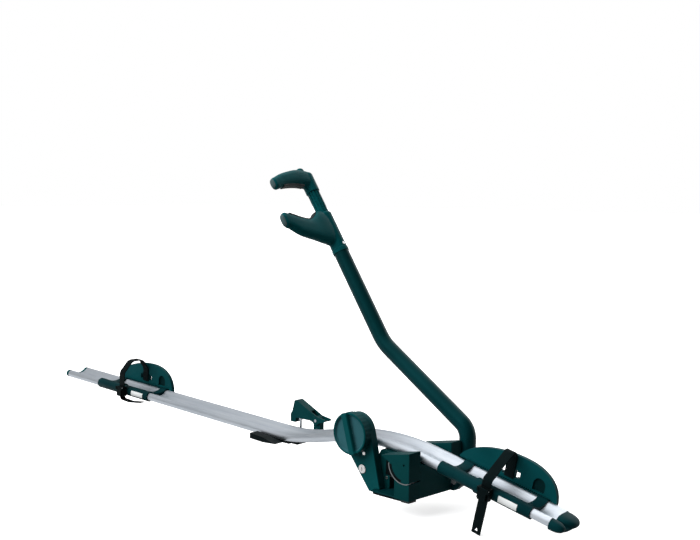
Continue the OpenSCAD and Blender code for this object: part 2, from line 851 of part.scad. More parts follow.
module pad_band(low, high) {
    up = [0, 1];
    polygon(concat([for (p = claw_edge) p + up * high], [for (i = [2 : -1 : 0]) claw_edge[i] - up * low]));
}

module lower_jaw() {
    spigot = 30;
    color(black) at_upper_arm(arm_up) difference() {
        union() {
            cylinder(r = jaw_r, h = jaw_h);
            cylinder(r = jaw_r + jaw_collar_t, h = jaw_collar_l);
            translate([0, 0, -spigot]) cylinder(r = arm_r - arm_wall - seat_gap, h = spigot + 1);
            intersection() {
                claw_side();
                claw_plan(claw_reach, claw_tip_r, 2 * jaw_h);
            }
        }
        translate([0, 0, -spigot - 1]) cylinder(r = rod_r + run_gap, h = spigot + jaw_h + 2);
        extrude_x(-jaw_pad_w / 2 - seat_gap, jaw_pad_w / 2 + seat_gap) pad_band(pad_deep, 10);
        translate([0, 0, jaw_screw_z]) rotate([0, 90, 0]) cylinder(r = jaw_screw_r + seat_gap, h = 2 * arm_d);
    }
}

module lower_jaw_pad() {
    color(rubber) at_upper_arm(arm_up)
        extrude_x(-jaw_pad_w / 2, jaw_pad_w / 2) pad_band(pad_deep, pad_proud);
}

jaw_screw_z = 14;
jaw_screw_r = 3;
module jaw_screw() {
    color(steel) at_upper_arm(arm_up) translate([rod_r + 1, 0, jaw_screw_z]) rotate([0, 90, 0])
        cylinder(r = jaw_screw_r, h = jaw_r - rod_r - 0.4);
}

// Upper jaw: grooved rod that slides in the lower jaw, and the hook on its end
hook_socket = hook_h - 8;
module jaw_rod() {
    groove_w = 2.6;
    groove_deep = 1.4;
    color(dark) at_upper_arm(arm_up - rod_below) difference() {
        cylinder(r = rod_r, h = rod_below + jaw_h + jaw_gap + hook_socket);
        for (a = [-120, -90, -60, -30, 0]) rotate([0, 0, a])
            translate([rod_r - groove_deep, -groove_w / 2, rod_below + jaw_h + 4])
                cube([groove_deep + 1, groove_w, jaw_gap - 8]);
    }
}

hook_tip_c = [-hook_reach, 1];
hook_flat_y = -22;
hook_under_y = -66;
hook_pad_y = [hook_under_y + 2, -root_y / 2];
module hook_side() {
    wide = 2 * jaw_r;
    corner = 3;
    fall = hook_h - hook_tip_c.y - hook_tip_r + 2;
    from = [hook_flat_y, hook_h];
    top = [for (t = [0 : 0.1 : 1]) from - [t * (hook_reach + hook_flat_y), fall * pow(t, 1.2)]];
    low = hook_tip_c + hook_tip_r * [cos(290), sin(290)];
    rod_x(hook_tip_r, -wide, wide, hook_tip_c.x, hook_tip_c.y);
    back = [[jaw_r, 0], [jaw_r, hook_h - corner], [jaw_r - corner, hook_h]];
    extrude_x(-wide, wide) polygon(concat(back, top, [hook_tip_c, low, [hook_under_y, 0]]));
}

module upper_jaw() {
    color(black) at_upper_arm(hook_at) difference() {
        intersection() {
            hook_side();
            translate([0, 0, -hook_h]) claw_plan(hook_reach, hook_tip_r, 3 * hook_h);
        }
        translate([0, 0, -1]) cylinder(r = rod_r + seat_gap, h = hook_socket + 1 + seat_gap);
        block([-jaw_pad_w / 2 - seat_gap, hook_pad_y[0], -hook_h],
            [jaw_pad_w / 2 + seat_gap, hook_pad_y[1], pad_deep]);
    }
}

module upper_jaw_pad() {
    color(rubber) at_upper_arm(hook_at)
        block([-jaw_pad_w / 2, hook_pad_y[0] + seat_gap, -pad_proud],
            [jaw_pad_w / 2, hook_pad_y[1] - seat_gap, pad_deep]);
}

module rod_cap() {
    cap_y = -10;
    dome_r = 10.5;
    rim_h = 3;
    color(black) at_upper_arm(hook_at + hook_h) translate([0, cap_y, 0]) {
        cylinder(r = dome_r, h = rim_h);
        translate([0, 0, rim_h]) ogive(dome_r, 8);
    }
}

// Wheel holder, in the rail's own frame
strap_x = [strap_ahead, strap_ahead + strap_w];
strap_near = -rail_v - sleeve_r - 5;
strap_far = rail_v + 2.8;
shield_y = [strap_far + strap_t / 2 + seat_gap, strap_far + strap_t / 2 + seat_gap + shield_t];
bridge_rear = -62;
collar_x = strap_ahead - 3 - collar_l;
sleeve_room = rail_r + slide_gap;

module holder_frame() {
    grip_v = rail_v - 2;
    bridge_z = [-3, 10];
    tyre_r = 45;
    tyre_z = 5;
    x0 = -2 * sleeve_back;
    x1 = 2 * sleeve_front;
    difference() {
        union() {
            rod_x(sleeve_r, -sleeve_back, sleeve_front, -rail_v, 0);
            rod_x(sleeve_r, bridge_rear, sleeve_front, rail_v, 0);
            rod_x(collar_d / 2, collar_x, collar_x + collar_l, -rail_v, 0);
            for (x = [bridge_rear, sleeve_front - bridge_w]) difference() {
                block([x, -rail_v, bridge_z[0]], [x + bridge_w, rail_v, bridge_z[1]]);
                rod_x(tyre_r, x - 1, x + bridge_w + 1, 0, tyre_r + tyre_z);
            }
        }
        both_rails() rod_x(sleeve_room, x0, x1, 0, 0);
        difference() {
            block([x0, -grip_v, -2 * sleeve_d], [x1, grip_v, trough_top + slide_gap]);
            rod_x(trough_r - slide_gap, x0 - 1, x1 + 1, 0, trough_c);
        }
        block([bridge_rear + bridge_w, 0, -sleeve_d], [sleeve_front - bridge_w, rail_v - 1, sleeve_d]);
        holder_screw_places() translate([0, 0, -2 * sleeve_d])
            cylinder(r = holder_screw_r + seat_gap, h = 2 * sleeve_d);
    }
}

holder_screw_r = 2;
module holder_screw_places() {
    for (x = [bridge_rear + bridge_w / 2, sleeve_front - bridge_w / 2]) translate([x, rail_v, 0]) children();
}

module holder_screws() {
    head_h = 3;
    holder_screw_places() {
        low = -sleeve_r - head_h;
        translate([0, 0, low]) cylinder(r = 2 * holder_screw_r, h = head_h);
        translate([0, 0, low]) cylinder(r = holder_screw_r, h = -sleeve_room - low);
    }
}

// Upper edge of the shield: a blunt curve in front of its peak, a slack one behind
function shield_edge(x) =
    let (d = x - shield_peak, a = d < 0 ? shield_back : shield_fore, p = d < 0 ? 1.9 : 2.4)
    shield_h * pow(1 - pow(min(abs(d) / a, 1), p), 1 / p);

module shield_shape() {
    steps = 28;
    x0 = shield_peak - shield_back;
    x1 = shield_peak + shield_fore;
    low = -4;
    spread = function(k) (1 - cos(180 * k / steps)) / 2;
    edge = [for (k = [0 : steps]) let (x = x0 + (x1 - x0) * spread(k)) [x, shield_edge(x)]];
    polygon(concat([[x0, low]], edge, [[x1, low]]));
}

module holder_shield() {
    niche_ahead = 41;
    niche_w = 24;
    niche_z = 14;
    niche_deep = 4;
    slit = [4, 16];
    slit_z = 18;
    difference() {
        extrude_y(shield_y[0], shield_y[1]) shield_shape();
        rod_x(sleeve_r + seat_gap, -2 * sleeve_back, sleeve_front + seat_gap, rail_v, 0);
        rod_x(sleeve_room, -2 * sleeve_back, 2 * sleeve_front, rail_v, 0);
        extrude_y(shield_y[0] - 1, shield_y[0] + niche_deep) translate([shield_peak + niche_ahead, niche_z]) {
            translate([-niche_w / 2, 0]) square([niche_w, 12]);
            translate([0, 12]) circle(niche_w / 2);
        }
        for (x = [strap_x[0] - 1.5 - slit[0], strap_x[1] + 1.5])
            block([x, shield_y[0] - 1, slit_z], [x + slit[0], shield_y[1] + 1, slit_z + slit[1]]);
    }
}

buckle_x = [strap_x[0] - 2.5, strap_x[1] + 2.5];
buckle_z = [-10, 12];
strap_low = buckle_z[0] - 2;
taut_path = rounded([[strap_near, strap_low], [strap_near, 26], [17, strap_top],
    [strap_far, strap_top - 14], [strap_far, 16]], 9);
slack_path = rounded([[strap_near, strap_low], [strap_near, strap_top - 26], [-18, strap_top],
    [12, strap_top], [strap_far, strap_top - 24], [strap_far, 16]], 16, 8);

module strap_arch(path) {
    extrude_x(strap_x[0], strap_x[1]) ribbon(path, strap_t);
}

// Strap end that hangs down, with a three-cornered hole
module strap_tail() {
    hole = 7;
    translate([strap_x[0] + strap_w / 2, strap_near, strap_low + 1]) difference() {
        translate([-strap_w / 2, -strap_t / 2, -tail_l]) cube([strap_w, strap_t, tail_l]);
        translate([0, strap_t, -tail_l + 5]) rotate([90, 0, 0]) linear_extrude(2 * strap_t)
            polygon([[-hole / 2, 0], [hole / 2, 0], [0, hole]]);
    }
}

// Strap end that is tucked forward under the sleeve
module strap_tuck() {
    y0 = strap_near - 2;
    x = strap_x[0];
    tuck = rounded([[x + 3, strap_low + 2], [x + 8, -19], [x + 40, -20], [x + 82, -sleeve_r - 2.2]], 6);
    extrude_y(y0, y0 + 13) ribbon(tuck, strap_t);
}

lever_pin_r = 1.5;
lever_pin_at = [strap_near - 7.7, buckle_z[1] - 2];
ear_w = 3.5;
module holder_buckle() {
    inner = -rail_v - sleeve_r - seat_gap;
    outer = strap_near - 5.5;
    difference() {
        union() {
            block([buckle_x[0], outer, buckle_z[0]], [buckle_x[1], inner, buckle_z[1]]);
            for (x = [buckle_x[0], buckle_x[1] - ear_w])
                block([x, outer - 5, buckle_z[1] - 7], [x + ear_w, outer, buckle_z[1]]);
        }
        block([strap_x[0] - slide_gap, strap_near - strap_t / 2 - slide_gap, -50],
            [strap_x[1] + slide_gap, strap_near + strap_t / 2 + slide_gap, 50]);
        rod_x(lever_pin_r + seat_gap, buckle_x[0] - 1, buckle_x[1] + 1, lever_pin_at.x, lever_pin_at.y);
    }
}

module release_lever() {
    lever_r = 1.9;
    side = ear_w + slide_gap;
    difference() {
        extrude_x(buckle_x[0] + side, buckle_x[1] - side) {
            translate(lever_pin_at) circle(lever_r);
            translate([lever_pin_at.x - lever_r, buckle_z[0]])
                square([2 * lever_r - 0.2, lever_pin_at.y - buckle_z[0]]);
        }
        rod_x(lever_pin_r + run_gap - 0.4, buckle_x[0] - 1, buckle_x[1] + 1, lever_pin_at.x, lever_pin_at.y);
    }
}

module release_pin() {
    rod_x(lever_pin_r - 0.4, buckle_x[0], buckle_x[1], lever_pin_at.x, lever_pin_at.y);
}

module front_holder_frame() {
    color(dark) at_front(front_hub) holder_frame();
}

module front_shield() {
    color(dark) at_front(front_hub) holder_shield();
}

module front_strap() {
    color(black) at_front(front_hub) {
        strap_arch(taut_path);
        strap_tail();
    }
}

module front_buckle() {
    color(black) at_front(front_hub) holder_buckle();
}

module front_release_lever() {
    color(dark) at_front(front_hub) release_lever();
}

module front_lever_pin() {
    color(steel) at_front(front_hub) release_pin();
}

module front_holder_screws() {
    color(steel) at_front(front_hub) holder_screws();
}

module rear_holder_frame() {
    color(dark) at_rear(rear_hub) holder_frame();
}

module rear_shield() {
    color(dark) at_rear(rear_hub) holder_shield();
}

module rear_strap() {
    color(black) at_rear(rear_hub) {
        strap_arch(slack_path);
        strap_tuck();
    }
}

module rear_buckle() {
    color(black) at_rear(rear_hub) holder_buckle();
}

module rear_release_lever() {
    color(dark) at_rear(rear_hub) release_lever();
}

module rear_lever_pin() {
    color(steel) at_rear(rear_hub) release_pin();
}

module rear_holder_screws() {
    color(steel) at_rear(rear_hub) holder_screws();
}

// Rear bar support: saddle under the tray, with a locking lever on the arm side
support_x = -support_back;
support_s = (rear_start.x - support_x) / cos(rear_tilt);
support_axis_z = rear_start.y + (rear_start.x - support_x) * tan(rear_tilt);
seat_z = support_axis_z - support_h;
seat_half = 20;
saddle_near = 14;
support_bolt_l = support_h - pad_t - slot_floor - slide_gap;

// Block under the middle of the tray, and a thin lug that runs on under the near rail and up beside it
module saddle_shape(x0, x1, high) {
    floor_z = seat_z + pad_t;
    lug_t = 2;
    lug_z = support_axis_z - rail_r - slide_gap - lug_t;
    extrude_y(-saddle_near, lever_y)
        polygon([[x0, high], [x0, floor_z + 3], [support_x - seat_half - 3, floor_z],
            [x1, floor_z], [x1, high]]);
    extrude_y(-support_near, -saddle_near)
        polygon([[x0, lug_z + 2], [x0, support_axis_z + 2.5], [support_x - 10, support_axis_z - 0.5],
            [x1 - 18, lug_z + lug_t], [support_x - 8, lug_z]]);
}

module support_saddle() {
    x0 = support_x - support_l / 2;
    x1 = support_x + support_l / 2;
    high = 40;
    saddle_top = -rail_r + 1.5;
    lug_y = rail_v + rail_r + 4;
    color(black) difference() {
        saddle_shape(x0, x1, high);
        at_rear(support_s) {
            extrude_x(-support_l, support_l) {
                translate([-lug_y, saddle_top]) square([lug_y + 2 * foot_w, 2 * high]);
                translate([-slot_half - slot_wall - slide_gap, -slot_bottom - slide_gap])
                    square([2 * (slot_half + slot_wall + slide_gap), high]);
            }
            both_rails() rod_x(sleeve_room, -support_l, support_l, 0, 0);
            translate([0, 0, -slot_floor - support_h])
                cylinder(r = bolt_d / 2 + run_gap, h = support_h + slot_floor);
        }
    }
}

module support_pad() {
    color(rubber) block([support_x - seat_half, 2 - saddle_near, seat_z],
        [support_x + seat_half, lever_y - 4, seat_z + pad_t]);
}

module support_bolt() {
    color(steel) at_rear(support_s) t_bolt(support_bolt_l);
}

lever_pin_x = support_x + 41;
lever_pin_c = [lever_pin_x, seat_z + lever_pin_z];
post_r = 9;
post_y = [lever_y + 5, lever_y + lever_w - 4];
draw_x = support_x - 10;
draw_y = lever_y + lever_w / 2;
post_base = [seat_z + pad_t + 1, seat_z + pad_t + 11];
module lever_post() {
    color(black) difference() {
        union() {
            block([support_x - 25, lever_y, post_base[0]],
                [lever_pin_x + post_r + 2, lever_y + lever_w, post_base[1]]);
            block([lever_pin_x - post_r, post_y[0], post_base[1]],
                [lever_pin_x + post_r, post_y[1], lever_pin_c.y]);
            rod_y(post_r, post_y[0], post_y[1], lever_pin_c);
        }
        rod_y(lever_pin_d / 2 + seat_gap, lever_y - 1, lever_y + lever_w + 1, lever_pin_c);
        translate([draw_x, draw_y, 0]) cylinder(r = draw_r + seat_gap, h = 2 * post_base[1]);
    }
}

// Locking lever: a wedge with its peak behind the pin, forked round the post
module lever_body(y0, y1) {
    x = lever_pin_x;
    z = lever_pin_c.y;
    peak = [x - 56, z + 30];
    rod_y(6, y0, y1, peak);
    rod_y(post_r, y0, y1, lever_pin_c);
    extrude_y(y0, y1) polygon([[x - 72, z - 12], [x - 72, z + 4], [x - 67, z + 12], peak + [-6, 0], peak,
        peak + [3.8, 4.6], [x + 2, z + 9], [x + 27, z + 5], [x + 26, z + 1], [x, z - 7], [x - 16, z - 2],
        [x - 56, z - 2], [x - 58, z - 12]]);
}

module locking_lever() {
    side = 0.6;
    color(dark) difference() {
        lever_body(lever_y + side, lever_y + lever_w - side);
        block([lever_pin_x - post_r - 8, post_y[0] - slide_gap, -lever_pin_z],
            [lever_pin_x + 2 * support_l, post_y[1] + slide_gap, 4 * lever_pin_z]);
        rod_y(lever_pin_d / 2 + run_gap, lever_y - 1, lever_y + lever_w + 1, lever_pin_c);
    }
}

module locking_pin() {
    color(steel) rod_y(lever_pin_d / 2, lever_y, lever_y + lever_w, lever_pin_c);
}

draw_r = 2.5;
module draw_screw() {
    head_top = lever_pin_c.y - 2 - 0.5;
    color(steel) translate([draw_x, draw_y, 0]) {
        translate([0, 0, post_base[0]]) cylinder(r = draw_r, h = head_top - post_base[0]);
        translate([0, 0, head_top - 4]) cylinder(r = 2 * draw_r, h = 4);
    }
}

tray();
rear_cap();
front_cap();
foot_housing();
cheek_near();
cheek_far();
cheek_strips();
bar_pad();
bar_strap();
strap_bolts();
strap_nuts();
tray_bolts();
corner_feet();
knob_housing();
housing_cover();
housing_screws();
lock_collar();
lock_cylinder();
knob();
knob_shaft();
cable_drum();
arm_bracket();
arm_pin();
arm_knuckle();
arm_bushes();
arm_tube();
cable_conduit();
lower_jaw();
lower_jaw_pad();
jaw_screw();
jaw_rod();
upper_jaw();
upper_jaw_pad();
rod_cap();
front_holder_frame();
front_shield();
front_strap();
front_buckle();
front_release_lever();
front_lever_pin();
front_holder_screws();
rear_holder_frame();
rear_shield();
rear_strap();
rear_buckle();
rear_release_lever();
rear_lever_pin();
rear_holder_screws();
support_saddle();
support_pad();
support_bolt();
lever_post();
locking_lever();
locking_pin();
draw_screw();
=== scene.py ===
# Looks of the roof bar bike carrier: materials, rounder forms and trim, floor, light and camera
import json
import math

import bmesh
import bpy
from mathutils import Matrix, Vector


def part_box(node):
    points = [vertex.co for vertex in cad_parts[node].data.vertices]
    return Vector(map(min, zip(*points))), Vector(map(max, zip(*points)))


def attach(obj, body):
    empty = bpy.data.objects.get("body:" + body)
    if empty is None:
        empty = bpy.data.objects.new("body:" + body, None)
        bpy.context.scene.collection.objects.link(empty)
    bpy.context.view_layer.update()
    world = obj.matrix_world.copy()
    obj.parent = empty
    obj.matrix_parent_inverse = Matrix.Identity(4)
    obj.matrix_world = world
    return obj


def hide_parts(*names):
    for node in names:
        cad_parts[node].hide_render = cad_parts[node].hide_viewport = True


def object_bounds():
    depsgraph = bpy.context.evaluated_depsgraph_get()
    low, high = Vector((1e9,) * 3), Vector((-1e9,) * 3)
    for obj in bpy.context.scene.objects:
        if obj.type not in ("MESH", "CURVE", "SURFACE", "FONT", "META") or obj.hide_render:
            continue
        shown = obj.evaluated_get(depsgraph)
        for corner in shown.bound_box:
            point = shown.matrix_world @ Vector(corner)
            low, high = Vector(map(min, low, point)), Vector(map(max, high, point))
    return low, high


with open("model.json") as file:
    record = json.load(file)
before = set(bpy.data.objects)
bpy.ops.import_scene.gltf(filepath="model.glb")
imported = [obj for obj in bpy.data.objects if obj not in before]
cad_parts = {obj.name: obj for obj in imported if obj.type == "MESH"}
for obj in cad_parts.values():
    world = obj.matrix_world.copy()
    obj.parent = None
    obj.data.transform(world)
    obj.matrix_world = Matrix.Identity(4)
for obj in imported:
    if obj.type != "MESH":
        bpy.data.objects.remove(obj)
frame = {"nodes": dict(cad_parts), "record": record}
CAD_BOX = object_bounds()
RECORD = frame["record"]
BODY_OF = {node: body for body, nodes in RECORD["behaviour"]["bodies"].items() for node in nodes}
SLOT_OF = {part["node"]: part["material_slot"] for part in RECORD["subparts"]}
JOINTS = {joint["name"]: joint for joint in RECORD["behaviour"]["joints"]}
MOUNTS = {mount["name"]: mount for mount in RECORD["mounts"]}

# The frame is in metres; the shapes below are written in millimetres
MM = 0.001
TAU = 2 * math.pi
X_AXIS = Vector((1, 0, 0))
Y_AXIS = Vector((0, 1, 0))
Z_AXIS = Vector((0, 0, 1))

# Camera at the photograph's viewing angle
CAMERA_AT = Vector((1.0855, -1.4289, 0.5185))
CAMERA_AZIMUTH = math.radians(-40.94)
CAMERA_PITCH = math.radians(4.46)
CAMERA_ROLL = math.radians(0.585)
FOCAL_PX = 980.7
PHOTO_W_PX = 700
SENSOR_W = 36


def add_camera():
    ahead = Vector((math.sin(CAMERA_AZIMUTH) * math.cos(CAMERA_PITCH),
                    math.cos(CAMERA_AZIMUTH) * math.cos(CAMERA_PITCH), -math.sin(CAMERA_PITCH)))
    level = Vector((math.cos(CAMERA_AZIMUTH), -math.sin(CAMERA_AZIMUTH), 0))
    upright = level.cross(ahead)
    right = math.cos(CAMERA_ROLL) * level + math.sin(CAMERA_ROLL) * upright
    up = right.cross(ahead)
    data = bpy.data.cameras.new("camera")
    data.sensor_fit = "HORIZONTAL"
    data.sensor_width = SENSOR_W
    data.lens = FOCAL_PX / PHOTO_W_PX * SENSOR_W
    camera = bpy.data.objects.new("camera", data)
    bpy.context.collection.objects.link(camera)
    camera.matrix_world = Matrix((
        (right.x, up.x, -ahead.x, CAMERA_AT.x),
        (right.y, up.y, -ahead.y, CAMERA_AT.y),
        (right.z, up.z, -ahead.z, CAMERA_AT.z),
        (0, 0, 0, 1)))
    bpy.context.scene.camera = camera


# Node trees
class Nodes:
    """Short calls that build a node tree"""

    def __init__(self, tree):
        self.tree = tree

    def node(self, kind, **values):
        made = self.tree.nodes.new(kind)
        for name, value in values.items():
            made.inputs[name.replace("_", " ")].default_value = value
        return made

    def put(self, value, socket):
        """Links an output to a socket, or sets the socket to a constant"""
        if isinstance(value, bpy.types.NodeSocket):
            self.tree.links.new(value, socket)
        else:
            socket.default_value = value

    def combine(self, operation, first, second):
        """A number worked out of two others"""
        made = self.node("ShaderNodeMath")
        made.operation = operation
        self.put(first, made.inputs[0])
        self.put(second, made.inputs[1])
        return made.outputs["Value"]

    def remap(self, value, from_low, from_high, low, high):
        """One range stretched to another and held at its ends"""
        made = self.node("ShaderNodeMapRange", From_Min=from_low, From_Max=from_high, To_Min=low, To_Max=high)
        self.put(value, made.inputs["Value"])
        return made.outputs["Result"]

    def choose(self, share, first, second):
        """The first number where the share is 0, and the second where it is 1"""
        made = self.node("ShaderNodeMix")
        self.put(share, made.inputs["Factor"])
        self.put(first, made.inputs["A"])
        self.put(second, made.inputs["B"])
        return made.outputs["Result"]


# Most of a noise lies between these two values
NOISE_LOW, NOISE_HIGH = 0.3, 0.7


class Shade(Nodes):
    """A material under construction: short calls for what every finish uses"""

    def __init__(self, name, rough, metal=0.0):
        self.material = bpy.data.materials.new(name)
        self.material.use_nodes = True
        super().__init__(self.material.node_tree)
        self.shader = self.tree.nodes["Principled BSDF"]
        self.shader.inputs["Roughness"].default_value = rough
        self.shader.inputs["Metallic"].default_value = metal

    def gloss(self, level, tint=(1, 1, 1, 1)):
        self.shader.inputs["Specular IOR Level"].default_value = level
        self.shader.inputs["Specular Tint"].default_value = tint

    def noise(self, scale, detail, stretch=(1, 1, 1)):
        """A noise over the object's own coordinates, in metres, stretched"""
        where = self.node("ShaderNodeTexCoord")
        scaled = self.node("ShaderNodeMapping", Scale=stretch)
        made = self.node("ShaderNodeTexNoise", Scale=scale, Detail=detail)
        self.put(where.outputs["Object"], scaled.inputs["Vector"])
        self.put(scaled.outputs["Vector"], made.inputs["Vector"])
        return made.outputs["Fac"]

    def tint(self, value, dark, light):
        """Base colour between two tones"""
        made = self.node("ShaderNodeValToRGB")
        for element, position, tone in zip(made.color_ramp.elements, (NOISE_LOW, NOISE_HIGH), (dark, light)):
            element.position = position
            element.color = (*tone, 1)
        self.put(value, made.inputs["Fac"])
        self.put(made.outputs["Color"], self.shader.inputs["Base Color"])

    def rough(self, value, low, high):
        self.put(self.remap(value, NOISE_LOW, NOISE_HIGH, low, high), self.shader.inputs["Roughness"])

    def bump(self, value, strength, depth):
        made = self.node("ShaderNodeBump", Strength=strength, Distance=depth)
        self.put(value, made.inputs["Height"])
        self.put(made.outputs["Normal"], self.shader.inputs["Normal"])


# Finishes; the gloss of the dark pieces is teal, as in the photograph
GLOSS_TINT = (0.12, 0.75, 0.82, 1)


def moulded_plastic(name, dark, light, rough, grain=0.2):
    shade = Shade(name, rough)
    shade.gloss(0.09, GLOSS_TINT)
    shade.tint(shade.noise(18, 4), dark, light)
    shade.rough(shade.noise(60, 4), rough - 0.06, rough + 0.06)
    shade.bump(shade.noise(1600, 2), grain, 0.0002)
    return shade.material


def painted_tube(name, dark, light):
    shade = Shade(name, 0.32)
    shade.gloss(0.16, GLOSS_TINT)
    shade.tint(shade.noise(12, 3), dark, light)
    shade.rough(shade.noise(90, 3), 0.27, 0.38)
    shade.bump(shade.noise(700, 2), 0.12, 0.0003)
    return shade.material


def drawn_aluminium(name, dark, light):
    """Metal with fine lines along the tray"""
    shade = Shade(name, 0.46, 1.0)
    lines = shade.noise(1, 4, (3, 900, 900))
    shade.tint(shade.noise(6, 3, (1, 20, 20)), dark, light)
    shade.rough(lines, 0.40, 0.52)
    shade.bump(lines, 0.06, 0.0002)
    return shade.material


def turned_metal(name, dark, light, rough):
    shade = Shade(name, rough, 1.0)
    shade.tint(shade.noise(40, 3), dark, light)
    shade.rough(shade.noise(240, 3), rough - 0.06, rough + 0.08)
    shade.bump(shade.noise(900, 2), 0.05, 0.0002)
    return shade.material


def soft_rubber(name, dark, light):
    shade = Shade(name, 0.7)
    shade.tint(shade.noise(30, 4), dark, light)
    shade.rough(shade.noise(200, 3), 0.62, 0.80)
    shade.bump(shade.noise(2200, 2), 0.3, 0.0003)
    return shade.material


# One look for each material slot of the record
LOOKS = {
    "tray_metal": drawn_aluminium("tray_metal", (0.66, 0.72, 0.79), (0.77, 0.82, 0.88)),
    "steel": turned_metal("steel", (0.66, 0.68, 0.70), (0.78, 0.79, 0.80), 0.30),
    "lock_metal": turned_metal("lock_metal", (0.86, 0.86, 0.86), (0.94, 0.94, 0.94), 0.22),
    "arm_paint": painted_tube("arm_paint", (0.0007, 0.020, 0.023), (0.0012, 0.028, 0.032)),
    "housing_plastic": moulded_plastic(
        "housing_plastic", (0.0014, 0.046, 0.050), (0.0022, 0.058, 0.063), 0.46),
    "holder_plastic": moulded_plastic(
        "holder_plastic", (0.0010, 0.016, 0.019), (0.0016, 0.024, 0.028), 0.48),
    "strap_plastic": moulded_plastic(
        "strap_plastic", (0.0018, 0.0024, 0.0026), (0.003, 0.0042, 0.0045), 0.5, grain=0.3),
    "pad_rubber": soft_rubber("pad_rubber", (0.008, 0.014, 0.015), (0.014, 0.022, 0.023)),
}

# Looks of single pieces that differ from their slot's
BLACK = LOOKS["strap_plastic"]
# Painted light: a lighter copy of the housing plastic for the knob's hollows, as if lit
HOLLOW_PAINTED_LIGHT = moulded_plastic("hollow_painted_light", (0.020, 0.080, 0.094), (0.030, 0.105, 0.122), 0.42)
SHIELD = moulded_plastic("shield_plastic", (0.0012, 0.036, 0.041), (0.0020, 0.048, 0.054), 0.48)
CHEEK = moulded_plastic("cheek_plastic", (0.0012, 0.028, 0.030), (0.0018, 0.038, 0.040), 0.46)
# Painted highlight: a lighter copy of the housing plastic on the jaws, their sleeves and the rod, standing in
# for the light on their round sides
JAW_HIGHLIGHT = moulded_plastic("jaw_painted_highlight", (0.0016, 0.070, 0.078), (0.0026, 0.090, 0.100), 0.40)
STRIP = turned_metal("strip_metal", (0.24, 0.26, 0.27), (0.32, 0.34, 0.35), 0.34)
# Painted shade: darker plastic for the floor of the shields' niches
NICHE_SHADE = moulded_plastic("niche_painted_shade", (0.0012, 0.010, 0.011), (0.0018, 0.015, 0.016), 0.5)
TIP = moulded_plastic("tip_plastic", (0.050, 0.085, 0.090), (0.075, 0.115, 0.120), 0.45)
LABEL = moulded_plastic("label_plastic", (0.62, 0.64, 0.64), (0.70, 0.72, 0.72), 0.5)
NODE_LOOKS = {
    "front_shield": SHIELD, "rear_shield": SHIELD,
    "foot_housing": CHEEK, "cheek_near": CHEEK, "cheek_far": CHEEK, "cheek_strips": STRIP,
    "locking_lever": CHEEK, "lever_post": CHEEK, "support_saddle": BLACK,
    "jaw_rod": JAW_HIGHLIGHT, "housing_screws": LOOKS["lock_metal"],
}


def look_of(node):
    return NODE_LOOKS.get(node) or LOOKS[SLOT_OF[node]]


def wear(piece, look):
    piece.data.materials.clear()
    piece.data.materials.append(look)


def fit(piece, body, slot, *nodes, look=None):
    """Hangs a piece on its body, in place of the nodes that it stands for"""
    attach(piece, body)
    if nodes:
        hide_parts(*nodes)
    wear(piece, look or LOOKS[slot])


def keep_modified(piece):
    """Makes the result of a piece's modifiers its mesh"""
    depsgraph = bpy.context.evaluated_depsgraph_get()
    made = bpy.data.meshes.new_from_object(piece.evaluated_get(depsgraph))
    piece.modifiers.clear()
    piece.data = made


def add_piece(name, mesh):
    piece = bpy.data.objects.new(name, mesh)
    bpy.context.collection.objects.link(piece)
    return piece


# Rounded edges: their width on each moulded or pressed piece
SOFT_EDGES = {
    "foot_housing": 4.0, "cheek_near": 3.5, "cheek_far": 3.5, "knob_housing": 2.5, "rear_cap": 0.8,
    "front_holder_frame": 0.8, "rear_holder_frame": 0.8,
    "front_buckle": 1.0, "rear_buckle": 1.0, "front_release_lever": 0.6, "rear_release_lever": 0.6,
    "support_saddle": 1.5, "lever_post": 1.2, "locking_lever": 2.0, "arm_bracket": 1.2, "arm_knuckle": 1.2,
    "bar_strap": 0.8, "corner_feet": 1.2,
}
SHIELD_EDGE = 1.5
EDGE_SHARP = math.radians(28)
EDGE_STEPS = 3
FLAT_WITHIN = math.radians(0.6)
SAME_POINT = 1e-6


def soften(node, width, cutter=None):
    """A copy of the node with its edges rounded, and cut where a cutter is given, standing for it"""
    mesh = frame["nodes"][node].data.copy()
    shape = bmesh.new()
    shape.from_mesh(mesh)
    bmesh.ops.remove_doubles(shape, verts=shape.verts, dist=SAME_POINT)
    bmesh.ops.dissolve_limit(shape, angle_limit=FLAT_WITHIN, verts=shape.verts, edges=shape.edges)
    shape.to_mesh(mesh)
    shape.free()
    piece = add_piece(node + "_rounded", mesh)
    if cutter:
        cut = piece.modifiers.new("cut", "BOOLEAN")
        cut.operation = "DIFFERENCE"
        cut.solver = "EXACT"
        cut.object = cutter
    bevel = piece.modifiers.new("edges", "BEVEL")
    bevel.width = width * MM
    bevel.segments = EDGE_STEPS
    bevel.limit_method = "ANGLE"
    bevel.angle_limit = EDGE_SHARP
    bevel.harden_normals = True
    bevel.use_clamp_overlap = True
    keep_modified(piece)
    if cutter:
        bpy.data.objects.remove(cutter)
    fit(piece, BODY_OF[node], SLOT_OF[node], node, look=look_of(node))


# Shapes made of rings of points; a round end stops short of its pole, which lies at POLE_STEPS
RING_STEPS = 40
NOSE_STEPS = 8
NOSE_POWER = 0.8
POLE_STEPS = 8.4


class Place:
    """A local frame: across, along and up, from an origin, in millimetres"""

    def __init__(self, origin, across, along, up):
        self.origin, self.across, self.along, self.up = origin, across, along, up

    def at(self, across, along, up):
        return self.origin + MM * (self.across * across + self.along * along + self.up * up)


def signed_power(value, power):
    return math.copysign(abs(value) ** power, value)


